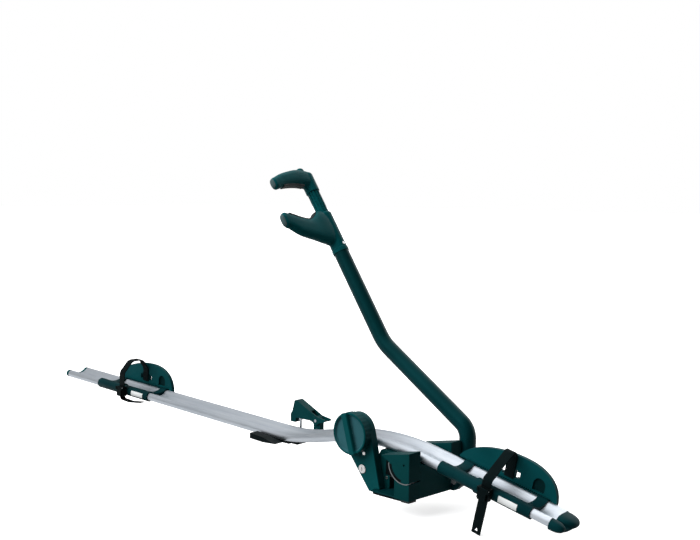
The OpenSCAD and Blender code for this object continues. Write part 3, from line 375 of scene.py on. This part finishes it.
def oval(place, along, low, high, half, square):
    """A ring round a finger at one station: an ellipse, or nearer to a box as square grows"""
    middle, deep = (low + high) / 2, (high - low) / 2
    ring = []
    for step in range(RING_STEPS):
        turn = TAU * step / RING_STEPS
        ring.append(place.at(half * signed_power(math.cos(turn), 2 / square), along,
                             middle + deep * signed_power(math.sin(turn), 2 / square)))
    return ring


def circle(place, radius, height):
    turns = [TAU * step / RING_STEPS for step in range(RING_STEPS)]
    return [place.at(radius * math.cos(turn), radius * math.sin(turn), height) for turn in turns]


def between(stations, along):
    """The row of a station table at a place between its stations, on a smooth curve"""
    for first in range(len(stations) - 1):
        a, b = stations[first], stations[first + 1]
        if a[0] >= along >= b[0]:
            before = stations[max(first - 1, 0)]
            after = stations[min(first + 2, len(stations) - 1)]
            span = b[0] - a[0]
            t = (along - a[0]) / span
            row = []
            for k in range(1, len(a)):
                rise_a = (b[k] - before[k]) / (b[0] - before[0]) * span
                rise_b = (after[k] - a[k]) / (after[0] - a[0]) * span
                row.append(a[k] * (1 + 2 * t) * (1 - t) ** 2 + b[k] * t * t * (3 - 2 * t)
                           + rise_a * t * (1 - t) ** 2 - rise_b * t * t * (1 - t))
            return row
    return list(stations[-1][1:])


def nose_ring(place, station, turn, nose, square, proud=0):
    """A ring on the round nose that ends a finger, or on a piece that stands proud of it"""
    last, low, high, half = station
    middle, deep = (low + high) / 2, (high - low) / 2
    shrink = math.cos(turn) ** NOSE_POWER
    return oval(place, last - (nose + proud) * math.sin(turn), middle - deep * shrink - proud,
                middle + deep * shrink + proud, half * shrink + proud, square)


def pole_turn(step):
    """Turns from the rim of a round end to just short of its pole"""
    return math.pi / 2 * step / POLE_STEPS


def finger(place, stations, nose, square, steps=36):
    """Rings from the first station to the last, which ends in a round nose"""
    first, last = stations[0][0], stations[-1][0]
    rings = []
    for step in range(steps + 1):
        along = first + (last - first) * step / steps
        low, high, half = between(stations, along)
        rings.append(oval(place, along, low, high, half, square))
    for step in range(1, NOSE_STEPS + 1):
        rings.append(nose_ring(place, stations[-1], pole_turn(step), nose, square))
    return rings


def sleeve(place, radius, low, high, round_top):
    """Rings of an upright sleeve, domed at its top"""
    rings = [circle(place, radius, low)]
    for step in range(NOSE_STEPS + 1):
        turn = pole_turn(step)
        rings.append(circle(place, radius - round_top * (1 - math.cos(turn)),
                            high - round_top * (1 - math.sin(turn))))
    return rings


def bent_strip(place, inner, outer, first, last, near, far, steps=48):
    """Rings of a box section carried round an arc, with the angles in degrees"""
    rings = []
    for step in range(steps + 1):
        turn = math.radians(first + (last - first) * step / steps)
        rings.append([place.at(radius * math.cos(turn), along, radius * math.sin(turn))
                      for radius, along in ((inner, near), (outer, near), (outer, far), (inner, far))])
    return rings


def slab(place, outline, near, far):
    """The two rings of a flat plate with an outline across and up"""
    return [[place.at(across, along, up) for across, up in outline] for along in (near, far)]


def skin(name, *lofts):
    """One mesh with a closed skin over each list of rings"""
    shape = bmesh.new()
    for rings in lofts:
        rows = [[shape.verts.new(point) for point in ring] for ring in rings]
        for row, following in zip(rows, rows[1:]):
            for k in range(len(row)):
                after = (k + 1) % len(row)
                shape.faces.new((row[k], row[after], following[after], following[k]))
        shape.faces.new(list(reversed(rows[0])))
        shape.faces.new(rows[-1])
    return close(name, shape)


def close(name, shape):
    """A piece with the finished shape as its mesh"""
    bmesh.ops.recalc_face_normals(shape, faces=shape.faces)
    mesh = bpy.data.meshes.new(name)
    shape.to_mesh(mesh)
    shape.free()
    return add_piece(name, mesh)


def shade_round(piece, sharp=50):
    for face in piece.data.polygons:
        face.use_smooth = True
    piece.data.set_sharp_from_angle(angle=math.radians(sharp))


def cast_in_one(piece, grain, passes):
    """Joins the overlapping skins of a piece and rounds the corners between them"""
    join = piece.modifiers.new("join", "REMESH")
    join.mode = "VOXEL"
    join.voxel_size = grain * MM
    flow = piece.modifiers.new("flow", "SMOOTH")
    flow.factor = 0.5
    flow.iterations = passes
    keep_modified(piece)


# Frame holder: its fingers reach towards -Y, and up is along the arm
JAW_TO_HOOK = 40
JAW_TO_SLEEVE = 126
JAW_PASSES = 6
# Stations of each finger: along, underside, upper side, half width
HOOK = [(6, -14, 29, 14.0), (-12, -8, 33.5, 14.2), (-30, -4.5, 34.5, 13.6), (-50, -3.5, 31.5, 12.6),
        (-80, -6, 24, 10.4), (-102, -11.5, 15, 8.6)]
HOOK_NOSE, HOOK_SQUARE, HOOK_GRAIN = 8, 2.6, 1.1
HOOK_SLEEVE = {"radius": 14.9, "low": -20, "high": 27, "round_top": 8}
DOME = {"radius": 9.6, "low": 30, "high": 39.6, "round_top": 8}
DOME_ALONG = -12
CLAW = [(6, 14, 92, 14.5), (-14, 17, 99, 15.0), (-26, 22, 97, 14.4), (-40, 27, 86, 13.2),
        (-54, 32.5, 80, 12.2), (-72, 38, 82.5, 11.2), (-92, 45.5, 89, 10.2), (-116, 62, 97.5, 8.8)]
CLAW_NOSE, CLAW_SQUARE, CLAW_GRAIN = 13, 2.7, 1.2
CLAW_SLEEVE = {"radius": 16.5, "low": 0.5, "high": 93, "round_top": 4}
COLLAR = {"radius": 17.4, "low": -0.5, "high": 8.5, "round_top": 1.2}
# Grey end pieces: the angles on the nose, in degrees, between which they lie over it
TIP_FROM, TIP_TO, TIP_PROUD = 48, 88, 0.2
# Pads: half width, squareness, and how far they stand out of and reach into the finger
PAD_HALF, PAD_SQUARE, PAD_PROUD, PAD_SUNK = 7.5, 4, 1.2, 4
# First and last place of each pad along its finger, and its steps
HOOK_PAD = (-24, -84, 24)
CLAW_PAD = (-30, -106, 32)


def arm_place(shift):
    up = Vector(JOINTS["jaw_slide"]["axis"])
    grip = Vector(MOUNTS["frame_jaw"]["pos_m"])
    grip.y = JOINTS["arm_fold"]["pos_m"][1]
    return Place(grip + up * shift * MM, Y_AXIS.cross(up), Y_AXIS, up)


def add_finger(name, node, body, place, stations, nose, square, grain, upright):
    """A finger cast in one with its sleeve, and the grey piece over its nose"""
    jaw = skin(name, finger(place, stations, nose, square), sleeve(place, **upright))
    cast_in_one(jaw, grain, JAW_PASSES)
    shade_round(jaw)
    # The jaw takes the lighter copy of the housing plastic: a painted highlight
    fit(jaw, body, "housing_plastic", node, look=JAW_HIGHLIGHT)
    rings = []
    for step in range(NOSE_STEPS + 1):
        turn = math.radians(TIP_FROM + (TIP_TO - TIP_FROM) * step / NOSE_STEPS)
        rings.append(nose_ring(place, stations[-1], turn, nose, square, TIP_PROUD))
    end = skin(name + "_tip", rings)
    shade_round(end)
    fit(end, body, "pad_rubber", look=TIP)


def add_hook():
    place = arm_place(JAW_TO_HOOK)
    add_finger("hook", "upper_jaw", "sliding_jaw", place,
               HOOK, HOOK_NOSE, HOOK_SQUARE, HOOK_GRAIN, HOOK_SLEEVE)
    over_rod = Place(place.at(0, DOME_ALONG, 0), place.across, place.along, place.up)
    dome = skin("hook_dome", sleeve(over_rod, **DOME))
    shade_round(dome)
    fit(dome, "sliding_jaw", "housing_plastic", "rod_cap", look=JAW_HIGHLIGHT)


def add_claw():
    place = arm_place(-JAW_TO_SLEEVE)
    add_finger("claw", "lower_jaw", "arm", place,
               CLAW, CLAW_NOSE, CLAW_SQUARE, CLAW_GRAIN, CLAW_SLEEVE)
    ring = skin("claw_collar", sleeve(place, **COLLAR))
    shade_round(ring)
    fit(ring, "arm", "housing_plastic", look=JAW_HIGHLIGHT)


def add_pad(name, node, body, place, stations, side, first, last, steps):
    """A pad that follows one side of a finger, its underside or its upper side"""
    rings = []
    for step in range(steps + 1):
        along = first + (last - first) * step / steps
        low, high = between(stations, along)[:2]
        ends = (low - PAD_PROUD, low + PAD_SUNK) if side == "under" else (high - PAD_SUNK, high + PAD_PROUD)
        rings.append(oval(place, along, *ends, PAD_HALF, PAD_SQUARE))
    pad = skin(name, rings)
    shade_round(pad)
    fit(pad, body, "pad_rubber", node)


# Front end cap: a rounded bumper that closes the trough
RAIL_R = 8.5
CAP_BACK, CAP_FRONT = 1, -4
CAP_SQUARE, CAP_STEPS, CAP_GRAIN, CAP_PASSES = 2.5, 6, 0.9, 4
# Lobes: side, underside, upper side, half width, nose
CAP_LOBES = ((13, -9, 11, 22, 25), (-24.5, -8.8, 9.8, 10.6, 21), (0, -8.8, 0, 34, 21))


def add_front_cap():
    ahead = Vector(JOINTS["front_holder_slide"]["axis"])
    up = Vector(MOUNTS["front_wheel_cradle"]["axis"])
    low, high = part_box("tray")
    end = Vector((high.x - up.x * RAIL_R * MM, 0, low.z + up.z * RAIL_R * MM))
    lobes = []
    for side, under, over, half, nose in CAP_LOBES:
        place = Place(end + Y_AXIS * side * MM, Y_AXIS, -ahead, up)
        stations = [(along, under, over, half) for along in (CAP_BACK, CAP_FRONT)]
        lobes.append(finger(place, stations, nose, CAP_SQUARE, CAP_STEPS))
    cap = skin("bumper_cap", *lobes)
    cast_in_one(cap, CAP_GRAIN, CAP_PASSES)
    shade_round(cap)
    fit(cap, "carrier", "holder_plastic", "front_cap")


# Knob: two half-moon hollows for the fingers, with a rounded rib between them; the hollows are painted
# lighter, as lit faces
KNOB_R = 39.5
KNOB_RIB_TILT = math.radians(16)
KNOB_RIB_HALF = 5.5
KNOB_RIB_EASE = 4
KNOB_RIB_PROUD = 5
KNOB_RIM = 3.5
KNOB_RIM_EASE = 3
KNOB_DEEP = 4
KNOB_EDGE = 1.6
KNOB_EDGE_STEPS = (0.3, 0.6, 0.85, 1.0)
KNOB_FLUTES = 30
KNOB_FLUTE_DEEP = 0.5
KNOB_SIDE = 3
KNOB_BACK_BAND = 2
KNOB_TURNS = 180
KNOB_ROWS = 44
PAINTED_LIGHT_FROM = KNOB_RIB_PROUD + 0.3 * KNOB_DEEP


def ease(value, width):
    t = min(max(value / width, 0), 1)
    return t * t * (3 - 2 * t)


def knob_face(radius, turn):
    """Depth of the knob's face below the top of its rib"""
    across = radius * math.cos(turn - KNOB_RIB_TILT)
    beside = ease(abs(across) - KNOB_RIB_HALF, KNOB_RIB_EASE)
    return beside * (KNOB_RIB_PROUD + KNOB_DEEP * ease(KNOB_R - KNOB_RIM - radius, KNOB_RIM_EASE))


def add_knob():
    low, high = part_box("knob")
    centre = Vector(JOINTS["knob_turn"]["pos_m"])
    front, back = low.y / MM, high.y / MM
    turns = [TAU * k / KNOB_TURNS for k in range(KNOB_TURNS)]
    shape = bmesh.new()

    def point(radius, turn, y):
        return shape.verts.new((centre.x + radius * MM * math.cos(turn), y * MM,
                                centre.z + radius * MM * math.sin(turn)))

    rings = []
    for row in range(1, KNOB_ROWS + 1):
        radius = (KNOB_R - KNOB_EDGE) * row / KNOB_ROWS
        rings.append([point(radius, turn, front + knob_face(radius, turn)) for turn in turns])
    for share in KNOB_EDGE_STEPS:
        over = math.pi / 2 * share
        radius = KNOB_R - KNOB_EDGE * (1 - math.sin(over))
        drop = KNOB_EDGE * (1 - math.cos(over))
        rings.append([point(radius, turn, front + knob_face(KNOB_R, turn) + drop) for turn in turns])
    for y in (front + KNOB_RIB_PROUD + KNOB_SIDE, back - KNOB_BACK_BAND, back):
        rings.append([point(KNOB_R - KNOB_FLUTE_DEEP * max(math.cos(KNOB_FLUTES * turn), 0), turn, y)
                      for turn in turns])
    middle = point(0, 0, front)
    tail = point(0, 0, back)
    for k in range(KNOB_TURNS):
        after = (k + 1) % KNOB_TURNS
        shape.faces.new((middle, rings[0][k], rings[0][after]))
        for ring, following in zip(rings, rings[1:]):
            shape.faces.new((ring[k], following[k], following[after], ring[after]))
        shape.faces.new((rings[-1][after], rings[-1][k], tail))
    knob = close("turning_knob", shape)
    shade_round(knob, 60)
    fit(knob, "knob_set", "housing_plastic", "knob")
    # Painted light: the faces deep in the hollows take the lighter copy
    knob.data.materials.append(HOLLOW_PAINTED_LIGHT)
    for face in knob.data.polygons:
        x, z = (face.center.x - centre.x) / MM, (face.center.z - centre.z) / MM
        radius = math.hypot(x, z)
        if radius < KNOB_R - KNOB_RIM and knob_face(radius, math.atan2(z, x)) > PAINTED_LIGHT_FROM:
            face.material_index = 1


# Foot: a sill under the roof bar; painted shade in a dark band inside the cheek's strip, and in a dark sheet
# on the core's face behind the gap, where the core lies in shade
SILL_SHORT, SILL_HALF, SILL_DOWN, SILL_SQUARE = 4, 2.3, 1.8, 5
# Sections of the sill: place along Y from its near end, and share of its thickness
SILL_SECTIONS = ((0, 0.8), (1, 1), (24, 1), (25, 0.8))
CHEEK_X, CHEEK_Z, CHEEK_R = 38, 36.5, 33
BAND_FROM, BAND_TO = 184, 258
BAND_INNER, BAND_OUTER = CHEEK_R - 5, CHEEK_R - 0.2
BAND_PROUD, BAND_SUNK = 0.35, 1.5
CORE_SHADE_OUTLINE = ((-26, 2), (5, 2), (5, 36), (-8, 42), (-24, 42))
SHADE_SHEET_HALF = 0.6


def add_bar_sill():
    low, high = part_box("bar_strap")
    middle = Vector(((low.x + high.x) / 2, 0, low.z - SILL_DOWN * MM))
    place = Place(middle, Z_AXIS, Y_AXIS, X_AXIS)
    reach = (high.x - low.x) / 2 / MM - SILL_SHORT
    near = low.y / MM
    sill = skin("bar_sill", [oval(place, near + along, -reach, reach, SILL_HALF * share, SILL_SQUARE)
                             for along, share in SILL_SECTIONS])
    shade_round(sill, 40)
    fit(sill, "carrier", "housing_plastic", look=BLACK)


# Painted shade: a dark band on the cheek's face inside its strip, standing in for the shade of a recess
def add_cheek_shade():
    place = Place(Vector((CHEEK_X * MM, 0, CHEEK_Z * MM)), X_AXIS, Y_AXIS, Z_AXIS)
    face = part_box("foot_housing")[0].y / MM
    shade_band = skin("cheek_painted_shade", bent_strip(place, BAND_INNER, BAND_OUTER, BAND_FROM, BAND_TO,
                                         face - BAND_PROUD, face + BAND_SUNK))
    fit(shade_band, "carrier", "housing_plastic", look=BLACK)


# Painted shade: a dark sheet on the core's face, which lies in shade behind the gap
def add_core_shade():
    place = Place(Vector((0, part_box("cheek_near")[1].y, 0)), X_AXIS, Y_AXIS, Z_AXIS)
    shade_sheet = skin("core_painted_shade", slab(place, CORE_SHADE_OUTLINE, -SHADE_SHEET_HALF, SHADE_SHEET_HALF))
    fit(shade_sheet, "carrier", "housing_plastic", look=BLACK)


# Wheel holders, each in the frame of its rail, measured from the middle of the holder
CRADLE_UP, CRADLE_AHEAD = 8, 26
RAIL_Y = 25
SLEEVE_R = 11.5
# Openings of the shield on both sides of the strap: from and to along the rail, then up, then through
SHIELD_OPENINGS = ((5, 15.6), (36.4, 47))
SHIELD_OPEN_Z = (20, 31)
SHIELD_THROUGH = (20, 45)
# Painted shade: a dark sheet on the floor of the shield's arched niche, where the recess lies in shade
NICHE_AT, NICHE_HALF, NICHE_LOW, NICHE_SPRING, NICHE_DEEP = 86, 11.8, 14.2, 26, 4
NICHE_STEPS = 16
NICHE_SHADE_HALF = 0.5
# Bare label plates on the near sleeves: angles round the sleeve, in degrees, and steps along it
LABEL_TURNS = range(150, 211, 5)
LABEL_STEPS = 10
LABEL_PROUD, LABEL_SUNK = 0.35, 0.6
# First and last place of each label along its rail
FRONT_LABEL = (49.75, 87.25)
REAR_LABEL = (54.25, 96.75)


def holder_place(side, mount, slide):
    along = Vector(JOINTS[slide]["axis"])
    up = Vector(MOUNTS[mount]["axis"])
    hub = Vector(MOUNTS[mount]["pos_m"]) - up * CRADLE_UP * MM - along * CRADLE_AHEAD * MM
    return Place(hub + Y_AXIS * side * MM, Y_AXIS, along, up)


def add_shield(node, mount, slide):
    """The upright shield with its openings, and a dark sheet of painted shade on the floor of its niche"""
    rail = holder_place(0, mount, slide)
    place = Place(rail.origin, rail.along, rail.across, rail.up)
    low, high = SHIELD_OPEN_Z
    openings = [slab(place, ((first, low), (last, low), (last, high), (first, high)), *SHIELD_THROUGH)
                for first, last in SHIELD_OPENINGS]
    soften(node, SHIELD_EDGE, cutter=skin(node + "_openings", *openings))
    arch = [(NICHE_AT - NICHE_HALF, NICHE_LOW), (NICHE_AT + NICHE_HALF, NICHE_LOW)]
    for step in range(NICHE_STEPS + 1):
        turn = math.pi * step / NICHE_STEPS
        arch.append((NICHE_AT + NICHE_HALF * math.cos(turn), NICHE_SPRING + NICHE_HALF * math.sin(turn)))
    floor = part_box(node)[0].y / MM + NICHE_DEEP
    shade_sheet = skin(node + "_niche_shade", slab(place, arch, floor - NICHE_SHADE_HALF, floor + NICHE_SHADE_HALF))
    fit(shade_sheet, BODY_OF[node], SLOT_OF[node], look=NICHE_SHADE)


def add_label(name, mount, slide, body, first, last):
    place = holder_place(-RAIL_Y, mount, slide)
    outer = [(SLEEVE_R + LABEL_PROUD, math.radians(turn)) for turn in LABEL_TURNS]
    inner = [(SLEEVE_R - LABEL_SUNK, turn) for radius, turn in reversed(outer)]
    rings = []
    for step in range(LABEL_STEPS + 1):
        along = first + (last - first) * step / LABEL_STEPS
        rings.append([place.at(radius * math.cos(turn), along, radius * math.sin(turn))
                      for radius, turn in outer + inner])
    label = skin(name, rings)
    shade_round(label, 40)
    fit(label, body, "holder_plastic", look=LABEL)


# Floor: white with the shadow on it; the object gets a dim bounce of it, and gloss shows a share of it
FLOOR_SIZE = 60
FLOOR_GAP = 0.001
FLOOR_LIFT = 0.58
FLOOR_BOUNCE = (0.12, 0.12, 0.12, 1)
FLOOR_MIRRORED = 0.3


def add_floor():
    low = CAD_BOX[0][2]
    bpy.ops.mesh.primitive_plane_add(size=FLOOR_SIZE, location=(0, 0, low - FLOOR_GAP))
    floor = bpy.context.object
    floor.name = "floor"
    shade = Shade("floor", 0.9)
    shade.gloss(0.0)
    shade.tint(shade.noise(3, 2), (0.955, 0.955, 0.955), (0.965, 0.965, 0.965))
    lift = shade.node("ShaderNodeEmission", Strength=FLOOR_LIFT)
    bright = shade.node("ShaderNodeAddShader")
    dim = shade.node("ShaderNodeBsdfDiffuse", Color=FLOOR_BOUNCE)
    path = shade.node("ShaderNodeLightPath").outputs
    mirrored = shade.combine("MULTIPLY", path["Is Glossy Ray"], FLOOR_MIRRORED)
    pick = shade.node("ShaderNodeMixShader")
    shade.put(shade.shader.outputs["BSDF"], bright.inputs[0])
    shade.put(lift.outputs["Emission"], bright.inputs[1])
    shade.put(shade.combine("MAXIMUM", path["Is Camera Ray"], mirrored), pick.inputs["Fac"])
    shade.put(dim.outputs["BSDF"], pick.inputs[1])
    shade.put(bright.outputs["Shader"], pick.inputs[2])
    shade.put(pick.outputs["Shader"], shade.tree.nodes["Material Output"].inputs["Surface"])
    floor.data.materials.append(shade.material)


# Light: from above the near side, with a fill from behind; the front end stays in half shade
KEY_FROM = Vector((-0.42, -0.66, 0.62)).normalized()
KEY_STRENGTH = 2.8
KEY_SPREAD = math.radians(50)


def add_key():
    data = bpy.data.lights.new("key", "SUN")
    data.energy = KEY_STRENGTH
    data.angle = KEY_SPREAD
    key = bpy.data.objects.new("key", data)
    key.rotation_euler = KEY_FROM.to_track_quat("Z", "Y").to_euler()
    key.visible_glossy = False
    bpy.context.collection.objects.link(key)


def add_world():
    """White to the camera, a soft box to the object, and a sky with darker ends to its gloss"""
    world = bpy.data.worlds.new("studio")
    bpy.context.scene.world = world
    world.use_nodes = True
    sky = Nodes(world.node_tree)
    where = sky.node("ShaderNodeTexCoord").outputs["Generated"]
    towards = sky.node("ShaderNodeVectorMath")
    towards.operation = "DOT_PRODUCT"
    sky.put(where, towards.inputs[0])
    sky.put(KEY_FROM, towards.inputs[1])
    parts = sky.node("ShaderNodeSeparateXYZ")
    sky.put(where, parts.inputs["Vector"])
    x, y, z = (parts.outputs[axis] for axis in "XYZ")

    # Each range: from and to in the direction of the sky, then the light there
    soft = sky.remap(towards.outputs["Value"], 0.15, 0.95, 0.03, 1.6)
    fill = sky.remap(y, 0.1, 0.9, 0.0, 2.2)
    shaded = sky.remap(x, -0.1, 0.4, 1.0, 0.08)
    lit = sky.combine("MULTIPLY", sky.combine("ADD", soft, fill), shaded)

    height = sky.remap(z, 0.05, 0.42, 0.30, 1.0)
    front = sky.remap(x, 0.0, 0.6, 1.0, 0.12)
    behind = sky.remap(y, 0.52, 0.74, 0.0, 1.0)
    rear = sky.remap(x, -0.7, -0.15, 0.25, 1.7)
    over = sky.combine("MAXIMUM", sky.combine("MULTIPLY", height, front), behind)
    mirrored = sky.combine("MULTIPLY", over, rear)

    path = sky.node("ShaderNodeLightPath").outputs
    strength = sky.choose(path["Is Glossy Ray"], lit, mirrored)
    background = sky.tree.nodes["Background"]
    background.inputs["Color"].default_value = (1, 1, 1, 1)
    sky.put(sky.choose(path["Is Camera Ray"], strength, 1.0), background.inputs["Strength"])


for name in SLOT_OF:
    wear(frame["nodes"][name], look_of(name))
add_hook()
add_claw()
add_pad("hook_pad", "upper_jaw_pad", "sliding_jaw", arm_place(JAW_TO_HOOK), HOOK, "under", *HOOK_PAD)
add_pad("claw_pad", "lower_jaw_pad", "arm", arm_place(-JAW_TO_SLEEVE), CLAW, "upper", *CLAW_PAD)
add_front_cap()
add_knob()
add_bar_sill()
add_cheek_shade()
add_core_shade()
add_shield("front_shield", "front_wheel_cradle", "front_holder_slide")
add_shield("rear_shield", "rear_wheel_cradle", "rear_holder_slide")
add_label("front_label", "front_wheel_cradle", "front_holder_slide", "front_holder", *FRONT_LABEL)
add_label("rear_label", "rear_wheel_cradle", "rear_holder_slide", "rear_holder", *REAR_LABEL)
add_camera()
for name, width in SOFT_EDGES.items():
    soften(name, width)
add_floor()
add_key()
add_world()
bpy.context.scene.view_settings.view_transform = "Standard"
